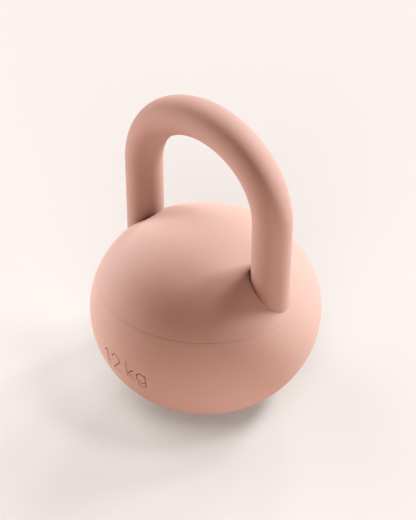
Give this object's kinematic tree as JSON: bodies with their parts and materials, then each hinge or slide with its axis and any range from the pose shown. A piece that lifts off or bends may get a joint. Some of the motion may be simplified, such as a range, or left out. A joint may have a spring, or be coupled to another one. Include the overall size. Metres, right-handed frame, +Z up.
{
  "type": "kettlebell",
  "caption": "Silicone-covered kettlebell: an oblate weighted body with a flat foot and a tall round-bar arch handle, for swings, lifts and carries.",
  "frame": {"origin": "centre of the base, on the surface that the pad stands on", "axes": "+Z up through the body and the top of the handle, X along the line between the handle's two legs, Y across the handle"},
  "size_m": [0.16, 0.16, 0.2251],
  "materials": {
    "silicone": "matte",
    "pad_silicone": "matte",
    "iron": "matte",
    "bar_steel": "satin",
    "black_steel": "satin",
    "spring_steel": "satin"
  },
  "bodies": {
    "root": {"core_casting": "iron", "handle_bar": "bar_steel", "handle_sleeve": "silicone", "upper_cover": "silicone", "lower_cover": "silicone", "base_pad": "pad_silicone", "handle_bolts": "black_steel", "spring_washers": "spring_steel"}
  },
  "joints": []
}
